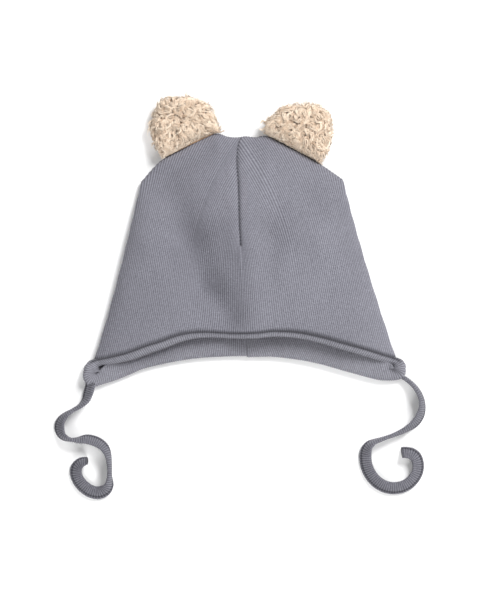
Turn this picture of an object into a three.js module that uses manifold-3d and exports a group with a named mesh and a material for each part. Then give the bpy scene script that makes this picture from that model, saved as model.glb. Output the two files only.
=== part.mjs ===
// A baby's pilot hat in rib jersey, lying on its back: a crown with a dart, a rolled brim band,
// two plush ears sewn into the top seam, and two flat ties.
// Millimetres. +Z is up from the table, +Y runs from the face opening to the top of the head,
// and the origin is on the table under the middle of the hat.

import * as THREE from "three";
import { mergeVertices } from "three/addons/utils/BufferGeometryUtils.js";
import Module from "manifold-3d";

const wasm = await Module();
wasm.setup();

// ---------- driving dimensions ----------

const WALL = 1.8; // two layers of rib jersey
const FOLD_RADIUS = 3; // outside radius of the side folds and of the closed top seam
const CROWN_LIFT = 15.5; // how far the upper layer stands over the fold line
const BRIM_LIFT = 13.5; // the same at the face opening
const SIDE_RISE = 62; // distance from a side fold over which the upper layer rises
const TOP_RISE = 50; // the same from the top seam
const SIDE_BOW = 2; // how far the side folds curve inwards
const DART_X = -4; // the front dart's place, left of the middle
const SEAM_GAP = 0.35; // between pieces that are sewn together

const BAND_HALF = 1.6; // half the thickness of the rolled band
const BAND_BEND = 0.45; // where the band bends over, as a share of its width
const TIP_RISE = 5; // distance from a corner over which the band's free edge leaves the fold's height
const TIP_FLUSH = 12; // distance from a corner over which the back's band comes to lie flush

const EAR_RADIUS = 21.5;
const EAR_THICK = 15;
const EAR_RIM = 0.55; // how upright the rim is: 1 is a ball's, 0 is a drum's
const EAR_PINCH = 0.42; // thickness at the seam, as a share of the full thickness
const EAR_BASE = 0.55; // from the ear's middle to its seam, as a share of its radius
const EAR_GAP = 0.5; // between the ears and the crown's top seam

const TIE_WIDTH = 8;
const TIE_THICK = 2.8;

// ---------- outlines, from the left side to the right side ----------

// The brim's front: the seam where the band joins the crown, and the band's free edge.
const FRONT_BRIM = [
  { seamX: -101.0, seamY: -79.0, edgeX: -103.0, edgeY: -91.4, edgeZ: 3.0 },
  { seamX: -86.0, seamY: -74.6, edgeX: -88.5, edgeY: -82.0, edgeZ: 5.6 },
  { seamX: -65.0, seamY: -68.4, edgeX: -66.0, edgeY: -74.2, edgeZ: 8.2 },
  { seamX: -44.0, seamY: -61.2, edgeX: -44.0, edgeY: -66.0, edgeZ: 10.4 },
  { seamX: -25.0, seamY: -58.6, edgeX: -25.0, edgeY: -62.8, edgeZ: 12.0 },
  { seamX: -3.0, seamY: -59.8, edgeX: -3.0, edgeY: -64.2, edgeZ: 12.4 },
  { seamX: 22.0, seamY: -58.2, edgeX: 22.0, edgeY: -62.3, edgeZ: 12.0 },
  { seamX: 44.0, seamY: -60.8, edgeX: 44.0, edgeY: -65.0, edgeZ: 10.4 },
  { seamX: 65.0, seamY: -66.8, edgeX: 66.0, edgeY: -72.0, edgeZ: 8.2 },
  { seamX: 86.0, seamY: -72.8, edgeX: 88.5, edgeY: -79.6, edgeZ: 5.6 },
  { seamX: 101.0, seamY: -78.2, edgeX: 102.8, edgeY: -88.2, edgeZ: 3.0 },
];

// The brim's back, which lies on the table. Its ends are those of the front.
const BACK_BRIM = [
  { seamX: -101.0, seamY: -79.0, edgeX: -103.0, edgeY: -91.4, edgeZ: 3.0 },
  { seamX: -86.0, seamY: -80.6, edgeX: -91.0, edgeY: -93.4, edgeZ: 1.6 },
  { seamX: -65.0, seamY: -72.6, edgeX: -67.5, edgeY: -83.4, edgeZ: 1.6 },
  { seamX: -44.0, seamY: -67.6, edgeX: -44.5, edgeY: -77.8, edgeZ: 1.6 },
  { seamX: -25.0, seamY: -65.2, edgeX: -25.0, edgeY: -75.2, edgeZ: 1.6 },
  { seamX: -3.0, seamY: -64.4, edgeX: -3.0, edgeY: -74.6, edgeZ: 1.6 },
  { seamX: 22.0, seamY: -65.0, edgeX: 22.0, edgeY: -75.2, edgeZ: 1.6 },
  { seamX: 44.0, seamY: -68.2, edgeX: 44.5, edgeY: -78.8, edgeZ: 1.6 },
  { seamX: 65.0, seamY: -73.4, edgeX: 66.5, edgeY: -84.7, edgeZ: 1.6 },
  { seamX: 86.0, seamY: -78.8, edgeX: 88.5, edgeY: -90.2, edgeZ: 1.6 },
  { seamX: 101.0, seamY: -78.2, edgeX: 102.8, edgeY: -88.2, edgeZ: 3.0 },
];

// The top seam, from the left shoulder over the middle to the right shoulder.
const TOP_SEAM = [
  { x: -67.3, y: 38.4 },
  { x: -55.0, y: 51.8 },
  { x: -42.0, y: 59.2 },
  { x: -29.0, y: 66.0 },
  { x: -17.0, y: 69.6 },
  { x: -4.0, y: 66.9 },
  { x: 13.0, y: 68.0 },
  { x: 26.0, y: 62.4 },
  { x: 39.0, y: 55.6 },
  { x: 51.5, y: 48.2 },
  { x: 63.6, y: 39.6 },
];

// Folds and dents of the upper layer, each along a line from one point to another.
const DENTS = [
  { name: "dart", x1: DART_X, y1: 66, x2: DART_X, y2: -2, width: 2.2, height: -1.6 },
  { name: "ridge under the dart", x1: -3, y1: -6, x2: -1, y2: -52, width: 8, height: 2.2 },
  { name: "long dent, left", x1: -34, y1: 24, x2: -12, y2: -10, width: 9, height: -2.6 },
  { name: "short dent, left", x1: -25, y1: -14, x2: -8, y2: -44, width: 6, height: -2.4 },
  { name: "dent, right", x1: 20, y1: 6, x2: 8, y2: -26, width: 9, height: -1.4 },
  { name: "shoulder crease, right", x1: 22, y1: 44, x2: 58, y2: 8, width: 8, height: -1.6 },
  { name: "shoulder crease, left", x1: -58, y1: 36, x2: -36, y2: 49, width: 6, height: -1.4 },
];

// Routes of the ties' middle lines. z is the height of the middle over the table.
const LEFT_TIE = [
  { x: -100.2, y: -94.6, z: 1.6 },
  { x: -101.3, y: -98.4, z: 1.6 },
  { x: -102.4, y: -102.2, z: 1.8 },
  { x: -104.9, y: -105.3, z: 2.6 },
  { x: -110.1, y: -108.8, z: 2.8 },
  { x: -115.9, y: -112.3, z: 2.0 },
  { x: -119.7, y: -116.9, z: 1.6 },
  { x: -120.6, y: -121.6, z: 1.6 },
  { x: -118.8, y: -126.2, z: 2.2 },
  { x: -114.1, y: -128.8, z: 2.8 },
  { x: -108.4, y: -129.1, z: 2.4 },
  { x: -102.0, y: -128.6, z: 1.8 },
  { x: -95.6, y: -130.6, z: 1.7 },
  { x: -90.9, y: -134.4, z: 2.2 },
  { x: -88.6, y: -139.6, z: 2.8 },
  { x: -87.8, y: -146.0, z: 3.0 },
  { x: -87.8, y: -152.8, z: 3.0 },
  { x: -88.4, y: -158.4, z: 2.6 },
  { x: -91.3, y: -162.0, z: 2.0 },
  { x: -96.2, y: -163.5, z: 1.6 },
  { x: -102.0, y: -161.6, z: 1.6 },
  { x: -107.0, y: -157.0, z: 1.6 },
  { x: -109.6, y: -151.8, z: 1.6 },
  { x: -109.3, y: -147.1, z: 1.6 },
  { x: -106.6, y: -143.9, z: 1.8 },
  { x: -102.4, y: -142.4, z: 2.2 },
];

const RIGHT_TIE = [
  { x: 104.8, y: -90.4, z: 2.4 },
  { x: 108.3, y: -92.8, z: 2.6 },
  { x: 111.7, y: -96.9, z: 2.6 },
  { x: 114.2, y: -102.2, z: 2.2 },
  { x: 114.8, y: -107.8, z: 2.0 },
  { x: 113.4, y: -113.4, z: 1.8 },
  { x: 109.9, y: -118.2, z: 1.8 },
  { x: 104.3, y: -122.1, z: 2.2 },
  { x: 97.4, y: -125.4, z: 2.8 },
  { x: 90.0, y: -128.0, z: 3.0 },
  { x: 83.5, y: -130.3, z: 2.6 },
  { x: 79.7, y: -133.5, z: 1.8 },
  { x: 78.1, y: -138.5, z: 1.6 },
  { x: 78.5, y: -144.5, z: 1.6 },
  { x: 80.8, y: -150.7, z: 1.6 },
  { x: 85.0, y: -155.9, z: 1.6 },
  { x: 90.5, y: -159.3, z: 1.6 },
  { x: 96.8, y: -160.4, z: 1.6 },
  { x: 103.0, y: -159.1, z: 1.6 },
  { x: 108.0, y: -155.7, z: 1.6 },
  { x: 111.4, y: -150.7, z: 1.6 },
  { x: 112.3, y: -145.5, z: 1.6 },
  { x: 111.1, y: -140.8, z: 1.6 },
  { x: 108.0, y: -138.0, z: 1.6 },
  { x: 104.3, y: -137.2, z: 1.7 },
  { x: 101.8, y: -137.2, z: 1.8 },
];

// ---------- how finely the solids are cut ----------

const COLUMNS_A_SIDE = 13; // columns from the dart to a side fold
const ROWS = 15; // rows from the brim to the top seam
const DART_COLUMNS = [0.012, 0.036]; // more columns beside the dart, as shares of the width
const TIE_STEPS = 38;
const EAR_SIDES = 36;
const EAR_RINGS = 6;
const TOP_STEPS = 40; // of the block that trims the ears
const BRIM_STEP = 0.04; // share of the height that gives the crown's direction at the brim

// ---------- small helpers ----------

const clamp01 = (value) => Math.min(Math.max(value, 0), 1);
const mix = (a, b, share) => a + (b - a) * share;
const smooth = (share) => share * share * (3 - 2 * share);

// A curve through the rows of a table, which runs evenly from one row to the next.
function curveThrough(rows, x, y, z) {
  const points = rows.map((row) => new THREE.Vector3(row[x], row[y], z ? row[z] : 0));
  return new THREE.CatmullRomCurve3(points);
}

// From 0 at an edge to 1 at a distance, starting upright as a round fold does.
function roundRise(distance, over) {
  const left = 1 - clamp01(distance / over);
  return Math.sqrt(1 - left * left);
}

// How far a point is from the stretch between two points.
function distanceTo(x, y, dent) {
  const alongX = dent.x2 - dent.x1;
  const alongY = dent.y2 - dent.y1;
  const share = clamp01(
    ((x - dent.x1) * alongX + (y - dent.y1) * alongY) / (alongX ** 2 + alongY ** 2),
  );
  return Math.hypot(x - dent.x1 - share * alongX, y - dent.y1 - share * alongY);
}

// ---------- the crown's two layers ----------

const seamCurves = {
  front: curveThrough(FRONT_BRIM, "seamX", "seamY"),
  back: curveThrough(BACK_BRIM, "seamX", "seamY"),
};
const edgeCurves = {
  front: curveThrough(FRONT_BRIM, "edgeX", "edgeY", "edgeZ"),
  back: curveThrough(BACK_BRIM, "edgeX", "edgeY", "edgeZ"),
};
const topCurve = curveThrough(TOP_SEAM, "x", "y");

// A point in plan. across runs from 0 at the left fold to 1 at the right one, up from 0 at the
// brim to 1 at the top seam, and inset is how far inside the outer face it lies.
function planPoint(layer, across, up, inset) {
  const low = seamCurves[layer].getPoint(across);
  const high = topCurve.getPoint(across);
  const side = 1 - 2 * across; // 1 at the left fold, -1 at the right one
  const bow = SIDE_BOW * Math.sin(Math.PI * up);
  return new THREE.Vector2(
    mix(low.x, high.x, up) + side * (inset + bow),
    mix(low.y, high.y - inset, up),
  );
}

function height(layer, across, up, inset) {
  const here = planPoint(layer, across, up, inset);
  const toSides = Math.min(
    here.distanceTo(planPoint(layer, 0, up, inset)),
    here.distanceTo(planPoint(layer, 1, up, inset)),
  );
  const toTop = here.distanceTo(planPoint(layer, across, 1, inset));
  if (layer === "back") {
    const radius = FOLD_RADIUS - inset;
    return FOLD_RADIUS - radius * roundRise(toSides, radius) * roundRise(toTop, radius);
  }
  const rise = roundRise(toSides, SIDE_RISE) * roundRise(toTop, TOP_RISE);
  const lift = mix(BRIM_LIFT, CROWN_LIFT, smooth(clamp01(up * 2))) - inset;
  const dents = DENTS.reduce(
    (sum, dent) => sum + dent.height * Math.exp(-((distanceTo(here.x, here.y, dent) / dent.width) ** 2)),
    0,
  );
  return FOLD_RADIUS + rise * (lift + dents);
}

function crownPoint(layer, across, up, inset) {
  const plan = planPoint(layer, across, up, inset);
  return new THREE.Vector3(plan.x, plan.y, height(layer, across, up, inset));
}

// Columns lie closer together at the folds, and a few flank the dart.
function columnPlaces() {
  const places = [0.5];
  for (let i = 1; i <= COLUMNS_A_SIDE; i++) {
    const away = 0.5 * Math.sin((Math.PI / 2) * (i / COLUMNS_A_SIDE));
    places.push(0.5 - away, 0.5 + away);
  }
  for (const away of DART_COLUMNS) places.push(0.5 - away, 0.5 + away);
  return places.sort((a, b) => a - b);
}

const columns = columnPlaces();
const last = columns.length - 1;
const rowPlaces = Array.from({ length: ROWS + 1 }, (_, i) => Math.sin((Math.PI / 2) * (i / ROWS)));

// One turn round the hat: the front from left to right, then the back from right to left.
const turn = [
  ...columns.map((across) => ({ layer: "front", across })),
  ...columns.slice(1, last).reverse().map((across) => ({ layer: "back", across })),
];

function crownGeometry() {
  const positions = [];
  const indices = [];
  const skins = [0, WALL].map((inset) =>
    rowPlaces.map((up, row) =>
      turn.map(({ layer, across }) => {
        // The back's topmost row is the front's, which closes the top seam.
        if (row === ROWS && layer === "back") return null;
        positions.push(...crownPoint(layer, across, up, inset).toArray());
        return positions.length / 3 - 1;
      }),
    ),
  );
  for (const skin of skins) {
    skin[ROWS] = skin[ROWS].map((index, k) => (index === null ? skin[ROWS][2 * last - k] : index));
  }
  const quad = (a, b, c, d) => indices.push(a, b, c, a, c, d);
  const count = turn.length;
  skins.forEach((skin, which) => {
    for (let row = 0; row < ROWS; row++) {
      for (let k = 0; k < count; k++) {
        const next = (k + 1) % count;
        const corners = [skin[row][k], skin[row][next], skin[row + 1][next], skin[row + 1][k]];
        if (which === 1) corners.reverse();
        const [a, b, c, d] = corners;
        if (c === d || a === b) indices.push(...[a, b, c, d].filter((v, i, all) => all.indexOf(v) === i));
        else quad(a, b, c, d);
      }
    }
  });
  const [outer, inner] = [skins[0][0], skins[1][0]];
  for (let k = 0; k < count; k++) {
    const next = (k + 1) % count;
    quad(outer[next], outer[k], inner[k], inner[next]);
  }
  const geometry = new THREE.BufferGeometry();
  geometry.setAttribute("position", new THREE.Float32BufferAttribute(positions, 3));
  geometry.setIndex(indices);
  return geometry;
}

// ---------- the rolled band round the face opening ----------

// The band's section: shares of its width, and of half its thickness, round one loop.
const BAND_SECTION = [
  { along: 0.0, out: 0.5 },
  { along: 0.14, out: 0.86 },
  { along: 0.45, out: 1.0 },
  { along: 0.8, out: 0.9 },
  { along: 0.96, out: 0.5 },
  { along: 1.0, out: 0.0 },
  { along: 0.96, out: -0.5 },
  { along: 0.8, out: -0.9 },
  { along: 0.45, out: -1.0 },
  { along: 0.14, out: -0.86 },
  { along: 0.0, out: -0.5 },
];

// One station of the band: where it leaves the crown, which way, and where its free edge is.
function bandStation({ layer, across }) {
  const middle = (up) =>
    crownPoint(layer, across, up, 0).add(crownPoint(layer, across, up, WALL)).multiplyScalar(0.5);
  const start = middle(0);
  const away = start.clone().sub(middle(BRIM_STEP)).normalize();
  const edge = edgeCurves[layer].getPoint(across);
  const fromTip = edge.distanceTo(edgeCurves[layer].getPoint(across < 0.5 ? 0 : 1));
  edge.z = mix(FOLD_RADIUS, edge.z, roundRise(fromTip, TIP_RISE));
  const from = start.clone().addScaledVector(away, SEAM_GAP);
  const bend = from.clone().addScaledVector(away, BAND_BEND * from.distanceTo(edge));
  return {
    line: new THREE.QuadraticBezierCurve3(from, bend, edge),
    flush: layer === "back" ? roundRise(fromTip, TIP_FLUSH) : 0,
  };
}

function bandGeometry() {
  const stations = turn.map(bandStation);
  const count = stations.length;
  const size = BAND_SECTION.length;
  const positions = [];
  stations.forEach((station, k) => {
    const before = stations[(k + count - 1) % count].line;
    const after = stations[(k + 1) % count].line;
    for (const { along, out } of BAND_SECTION) {
      const point = station.line.getPoint(along);
      const round = after.getPoint(along).sub(before.getPoint(along)).normalize();
      const outwards = round.cross(station.line.getTangent(along)).normalize().negate();
      // On the back the band thickens inwards only, so that its outer face lies on the table.
      const half = BAND_HALF * Math.abs(out);
      const shift = station.flush * Math.max(half - WALL / 2, 0);
      point.addScaledVector(outwards, BAND_HALF * out - shift);
      positions.push(point.x, point.y, Math.max(point.z, 0));
    }
  });
  const indices = [];
  for (let k = 0; k < count; k++) {
    const next = (k + 1) % count;
    for (let i = 0; i < size; i++) {
      const j = (i + 1) % size;
      const [a, b, c, d] = [k * size + i, next * size + i, next * size + j, k * size + j];
      indices.push(a, c, b, a, d, c);
    }
  }
  const geometry = new THREE.BufferGeometry();
  geometry.setAttribute("position", new THREE.Float32BufferAttribute(positions, 3));
  geometry.setIndex(indices);
  return geometry;
}

// ---------- the ears ----------

// Each ear is a plump disc of plush, thinner where it is sewn into the top seam.
const EARS = [
  { name: "ear_left", x: -39.3, y: 73.4, seamFrom: 0, seamTo: 0.5 },
  { name: "ear_right", x: 33.6, y: 68.2, seamFrom: 0.5, seamTo: 1 },
];

function solidOf(geometry) {
  const bare = geometry.clone();
  bare.deleteAttribute("normal");
  bare.deleteAttribute("uv");
  const merged = mergeVertices(bare, 1e-4);
  return new wasm.Manifold(
    new wasm.Mesh({
      numProp: 3,
      vertProperties: new Float32Array(merged.attributes.position.array),
      triVerts: new Uint32Array(merged.index.array),
    }),
  );
}

function geometryOf(solid) {
  const mesh = solid.getMesh();
  const geometry = new THREE.BufferGeometry();
  geometry.setAttribute("position", new THREE.BufferAttribute(mesh.vertProperties, 3));
  geometry.setIndex(new THREE.BufferAttribute(mesh.triVerts, 1));
  return geometry;
}

// The ground that the crown covers, grown by a gap, as an upright block that trims the ears.
function crownFootprint() {
  const shape = new THREE.Shape();
  const [left, right] = [seamCurves.front.getPoint(0), seamCurves.front.getPoint(1)];
  shape.moveTo(left.x, left.y);
  for (let i = 0; i <= TOP_STEPS; i++) {
    const point = topCurve.getPoint(i / TOP_STEPS);
    shape.lineTo(point.x, point.y + EAR_GAP);
  }
  shape.lineTo(right.x, right.y);
  const block = new THREE.ExtrudeGeometry(shape, { depth: 4 * EAR_THICK, bevelEnabled: false });
  return block.translate(0, 0, -EAR_THICK);
}

function earGeometry(ear) {
  const profile = [];
  const steps = EAR_RINGS * 2;
  for (let i = 0; i <= steps; i++) {
    const angle = Math.PI * (i / steps) - Math.PI / 2;
    // A full, nearly upright rim with a flatter face.
    const reach = i === 0 || i === steps ? 0 : EAR_RADIUS * Math.cos(angle) ** EAR_RIM;
    profile.push(new THREE.Vector2(reach, (EAR_THICK / 2) * Math.sin(angle)));
  }
  const disc = new THREE.LatheGeometry(profile, EAR_SIDES).rotateX(Math.PI / 2);
  const from = topCurve.getPoint(ear.seamFrom);
  const to = topCurve.getPoint(ear.seamTo);
  const outwards = new THREE.Vector2(from.y - to.y, to.x - from.x).normalize();
  const base = EAR_RADIUS * EAR_BASE;
  const place = disc.getAttribute("position");
  for (let i = 0; i < place.count; i++) {
    const away = place.getX(i) * outwards.x + place.getY(i) * outwards.y + base;
    const thickness = mix(EAR_PINCH, 1, smooth(clamp01(away / EAR_RADIUS)));
    place.setZ(i, thickness * (place.getZ(i) + EAR_THICK / 2));
  }
  disc.translate(ear.x, ear.y, 0);
  return geometryOf(solidOf(disc).subtract(solidOf(crownFootprint())));
}

// ---------- the ties ----------

function tieGeometry(route) {
  const path = curveThrough(route, "x", "y", "z");
  const flat = TIE_WIDTH / 2;
  const thick = TIE_THICK / 2;
  const section = new THREE.Shape([
    new THREE.Vector2(thick * 0.5, -flat),
    new THREE.Vector2(thick, -flat * 0.7),
    new THREE.Vector2(thick, flat * 0.7),
    new THREE.Vector2(thick * 0.5, flat),
    new THREE.Vector2(-thick * 0.5, flat),
    new THREE.Vector2(-thick, flat * 0.7),
    new THREE.Vector2(-thick, -flat * 0.7),
    new THREE.Vector2(-thick * 0.5, -flat),
  ]);
  return new THREE.ExtrudeGeometry(section, { steps: TIE_STEPS, extrudePath: path });
}

// ---------- materials and the finished object ----------

const rib = new THREE.MeshStandardMaterial({ color: 0x86868f, roughness: 0.9, metalness: 0 });
const ribBand = new THREE.MeshStandardMaterial({ color: 0x82828b, roughness: 0.9, metalness: 0 });
const plush = new THREE.MeshStandardMaterial({ color: 0xcdb69d, roughness: 1, metalness: 0 });
const ribTie = new THREE.MeshStandardMaterial({ color: 0x7a7a83, roughness: 0.9, metalness: 0 });

const hat = new THREE.Group();

function addPiece(name, geometry, material) {
  const mesh = new THREE.Mesh(geometry, material);
  mesh.name = name;
  hat.add(mesh);
}

addPiece("crown", crownGeometry(), rib);
addPiece("brim_band", bandGeometry(), ribBand);
for (const ear of EARS) addPiece(ear.name, earGeometry(ear), plush);
addPiece("tie_left", tieGeometry(LEFT_TIE), ribTie);
addPiece("tie_right", tieGeometry(RIGHT_TIE), ribTie);

export default hat;
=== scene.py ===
"""A baby's pilot hat in blue-grey rib jersey, with two teddy ears and flat ties, lying on its back.

Tables and sizes are in millimetres and are turned to metres where a mesh is made.
+Y runs from the face opening to the top of the head, and +Z is up from the table.
"""

import math

import bpy
import numpy as np
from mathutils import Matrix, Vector, noise


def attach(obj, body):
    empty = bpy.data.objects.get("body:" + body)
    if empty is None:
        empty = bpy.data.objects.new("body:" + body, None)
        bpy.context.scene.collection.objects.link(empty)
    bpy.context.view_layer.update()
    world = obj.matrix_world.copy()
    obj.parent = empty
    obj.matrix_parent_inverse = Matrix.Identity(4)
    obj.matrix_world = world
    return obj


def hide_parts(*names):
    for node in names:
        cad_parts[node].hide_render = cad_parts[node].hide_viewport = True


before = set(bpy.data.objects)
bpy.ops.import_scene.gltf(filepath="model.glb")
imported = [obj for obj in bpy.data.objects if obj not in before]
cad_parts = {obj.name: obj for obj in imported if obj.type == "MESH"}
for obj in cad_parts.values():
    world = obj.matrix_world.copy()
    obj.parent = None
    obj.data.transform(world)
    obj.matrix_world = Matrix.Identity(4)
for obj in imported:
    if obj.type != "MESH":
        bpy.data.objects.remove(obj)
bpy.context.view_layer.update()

MM = 0.001

# ---------------------------------------------------------------------------
# Driving sizes
# ---------------------------------------------------------------------------

# The jersey.
RIB_PITCH = 1.42  # from one rib to the next
RIB_DEPTH = 0.32
STITCH_LENGTH = 1.1
STEPS_A_RIB = 5

# The crown.
WALL = 1.6
FOLD_RADIUS = 3.0  # of the side folds and of the closed top seam
CROWN_LIFT = 15.0  # how far the upper layer stands over the folds
BRIM_LIFT = 10.0
LIFT_RUN = 65.0  # over how far below the hat's middle the one turns into the other
SIDE_RISE = 40.0  # over how far from a side fold the upper layer rises
TOP_RISE = 50.0
DART_RIBS = 29  # ribs on each side that end in the dart
HALF_RIBS = 70  # ribs on each half of the front at the brim
RIBS_OVER_FOLD = 7.5  # ribs on each side that pass over the side fold before the shoulder
DART_GROOVE = 1.3
DART_STITCH = 2.2
BRIM_GROOVE = 0.9
CALM_EDGE = 12.0  # how far from the side folds the cloth is free of soft unevenness
CROWN_ROWS = 50
BACK_COLUMNS = 48

# How far the ribs lean towards the hat's middle, in degrees from straight up.
FOLD_LEAN_LOW = 18.5  # at a side fold's foot
FOLD_LEAN_HIGH = 13.5  # at the shoulder
POINT_LEAN = 30.0  # at the dart's point
SEAM_LEAN = 35.0  # where the dart meets the top seam

# The binding.
BAND_WALL = 2.4  # it is folded double
BAND_BEND = 0.52 * BAND_WALL  # the radius of the bend where it turns under
BAND_TUCK = 3.5  # how far its tucked border lies back from there
TUCK_START = 6.1  # how far outside the crown's edge that border starts
CORNER_HEIGHT = 6.0  # of the roll at the two low corners
PITCH_LINE = 2.5  # how far from the border its ribs stand at their true pitch
JOINT_GROOVE = 0.3
TUCK_STEPS = 2
BEND_STEPS = 6
WIDTH_STEPS = 12
EDGE_ANGLES = (60, 30, 0, -30, -60)  # of the points round the free edge

# The ties.
TIE_WIDTH = 8.4
TIE_THICK = 2.6
TIE_LIP = 1.6  # what lies outside the stitches
TIE_GROOVE = 0.7
TIE_LENGTHS = {"tie_left": 0.143, "tie_right": 0.150}  # in metres
TIE_GATHER = {"tie_left": 1.0, "tie_right": 0.5}  # share of its width that a tie starts with
GATHER_LENGTH = 16.0
TIE_SECTION_POINTS = 22
TIE_STEPS_A_RIB = 6

# The ears.
EAR_RISE = 12.0  # the height of an ear's pile over the table
EAR_ROUND = 9.0  # how far in from its rim an ear is rounded
SKIN_DEPTH = 1.2  # of the skin under the pile
SKIN_SHARE = 0.93  # the skin's breadth as a share of the outline's
EAR_CLUMPS = 760
STRANDS_A_CLUMP = 5
STRAND_STEPS = 8
# Each clump's strands are near one value between these two.
STRAND_LENGTH = (7.5, 12.5)
STRAND_RADIUS = (0.3, 0.46)
STRAND_WAVES = (1.0, 1.8)
STRAND_SWING = (0.7, 1.5)
STRAND_LIFT = (0.3, 3.0)
STRAND_PASSES = (0.3, 3.6)  # how far past the rim
FIRST_SEED = 41

# Colours as they look on a screen, the lighter one of a pair first. In each jersey pair the lighter one is
# painted light on the rib ridges and the darker one is painted shade in the rib valleys.
CROWN_RIDGE_LIGHT_VALLEY_SHADE = ((138, 138, 147), (80, 79, 87))
BINDING_RIDGE_LIGHT_VALLEY_SHADE = ((142, 142, 150), (84, 83, 90))
TIE_RIDGE_LIGHT_VALLEY_SHADE = ((126, 126, 134), (66, 65, 72))
# The teddy pile's tips, and the darker colour painted as shade deep at its roots.
TEDDY_PILE_AND_ROOT_SHADE = ((243, 229, 210), (150, 114, 82))
# Painted shade in the seams' grooves, under the binding's roll and along the ties' stitched grooves; the
# ties' cut ends are darkened towards it too.
SEAM_SHADE = (38, 37, 42)

# The view from straight above, and the lights in metres and watts.
VIEW_MIDDLE = (-3.3, -38.3)
VIEW_HEIGHT = 390.0  # what the picture's height takes in
CAMERA_HEIGHT = 1400.0
SENSOR = 36.0
SKY = 0.24
LIGHTS = (
    # name, place, size, power
    ("key", (0.8, 1.0, 1.05), 0.8, 40.0),
    ("fill", (-1.4, 0.2, 1.0), 1.2, 13.0),
    ("front", (0.4, -1.5, 0.75), 0.9, 27.0),
)

# ---------------------------------------------------------------------------
# Outlines and folds
# ---------------------------------------------------------------------------

# The band as a ring seen from above, from its joint at the back, round the left corner, along the
# front and round the right corner back to the joint. x and y are its border on the crown's side.
# rib is the way its ribs run from there, in degrees from +X. width is what shows or is rolled under
# beyond that border, turned is 1 where the border is tucked underneath, and roll is how far the
# width is rolled, in degrees.
BAND = (
    # x, y, rib, width, turned, roll
    (1.4, -74.9, 90.0, 14.5, 1.0, 0.0),
    (-3.0, -74.7, 90.0, 14.5, 1.0, 0.0),
    (-25.0, -75.6, 80.0, 15.0, 1.0, 0.0),
    (-44.0, -78.0, 76.0, 15.0, 1.0, 0.0),
    (-65.0, -82.7, 76.0, 14.0, 1.0, 0.0),
    (-74.0, -86.4, 77.0, 13.4, 1.0, 0.0),
    (-82.6, -89.9, 79.0, 12.5, 1.0, 0.0),
    (-91.0, -92.6, 80.0, 10.6, 1.0, 0.0),
    (-98.0, -94.5, 72.0, 7.2, 1.0, 2.0),
    (-103.0, -92.2, 46.0, 7.0, 0.9, 12.0),
    (-105.2, -87.6, 16.0, 7.0, 0.7, 14.0),
    (-104.6, -83.2, -8.0, 7.4, 0.42, 25.0),
    (-101.8, -79.4, -30.0, 9.4, 0.16, 75.0),
    (-98.0, -77.4, -40.0, 10.6, 0.04, 112.0),
    (-86.5, -75.1, -48.0, 11.0, 0.0, 128.0),
    (-75.5, -72.2, -54.0, 11.0, 0.0, 132.0),
    (-65.0, -68.3, -58.0, 11.0, 0.0, 137.0),
    (-54.7, -65.0, -63.0, 11.0, 0.0, 150.0),
    (-43.6, -61.1, -68.0, 11.0, 0.0, 165.0),
    (-33.2, -59.2, -74.0, 9.8, 0.0, 182.0),
    (-22.8, -59.0, -80.0, 8.8, 0.0, 195.0),
    (-8.5, -59.7, -88.0, 8.4, 0.0, 200.0),
    (6.4, -59.5, -92.0, 8.4, 0.0, 200.0),
    (18.8, -58.4, -98.0, 8.4, 0.0, 195.0),
    (33.7, -59.2, -104.0, 8.6, 0.0, 188.0),
    (48.7, -62.2, -111.0, 8.8, 0.0, 178.0),
    (63.6, -66.3, -118.0, 8.6, 0.0, 150.0),
    (78.6, -70.5, -123.0, 8.4, 0.0, 131.0),
    (90.0, -74.1, -126.0, 8.6, 0.0, 125.0),
    (98.0, -76.4, -132.0, 9.4, 0.04, 112.0),
    (102.0, -78.2, -146.0, 8.6, 0.16, 75.0),
    (104.2, -81.6, -173.0, 7.4, 0.42, 25.0),
    (104.1, -85.2, -200.0, 6.6, 0.7, 14.0),
    (102.4, -88.2, -226.0, 6.6, 0.9, 12.0),
    (98.6, -90.2, -250.0, 7.4, 1.0, 2.0),
    (91.5, -90.6, -256.0, 12.5, 1.0, 0.0),
    (83.8, -89.6, -254.0, 13.5, 1.0, 0.0),
    (65.0, -84.5, -250.0, 13.5, 1.0, 0.0),
    (44.0, -78.8, -248.0, 15.0, 1.0, 0.0),
    (22.0, -75.5, -250.0, 15.5, 1.0, 0.0),
    (9.0, -75.2, -256.0, 15.0, 1.0, 0.0),
    (1.0, -75.5, -269.0, 14.5, 1.0, 0.0),
)
LEFT_CORNER_ROW = 13  # where the front begins in that table
RIGHT_CORNER_ROW = 29  # and where it ends

# Where the back layer ends under the band, which turns over its edge.
BACK_BRIM = (
    (-98.0, -77.4),
    (-97.0, -86.0),
    (-84.0, -84.4),
    (-65.0, -78.0),
    (-44.0, -73.4),
    (-25.0, -71.0),
    (-3.0, -70.2),
    (22.0, -71.0),
    (44.0, -74.2),
    (65.0, -79.8),
    (84.0, -84.8),
    (97.0, -84.0),
    (98.0, -76.4),
)

# The top seam of each half, from the dart out to the shoulder.
TOP_SEAM = {
    -1: (
        (-2.4, 67.6),
        (-6.0, 67.2),
        (-11.6, 67.8),
        (-18.8, 69.8),
        (-29.0, 66.0),
        (-42.0, 59.2),
        (-55.0, 51.8),
        (-67.3, 38.4),
    ),
    1: (
        (-2.4, 67.6),
        (0.5, 68.0),
        (6.6, 67.3),
        (14.6, 68.1),
        (26.0, 62.4),
        (39.0, 55.6),
        (51.5, 48.2),
        (63.6, 39.6),
    ),
}

# The dart, from its point up to the top seam.
DART = (
    (-3.0, -3.2),
    (-3.9, 13.4),
    (-4.4, 34.6),
    (-5.4, 51.5),
    (-4.4, 62.0),
    (-2.4, 67.6),
)
BRIM_MIDDLE_X = -1.4  # where the rib below the dart's point meets the brim

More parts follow.
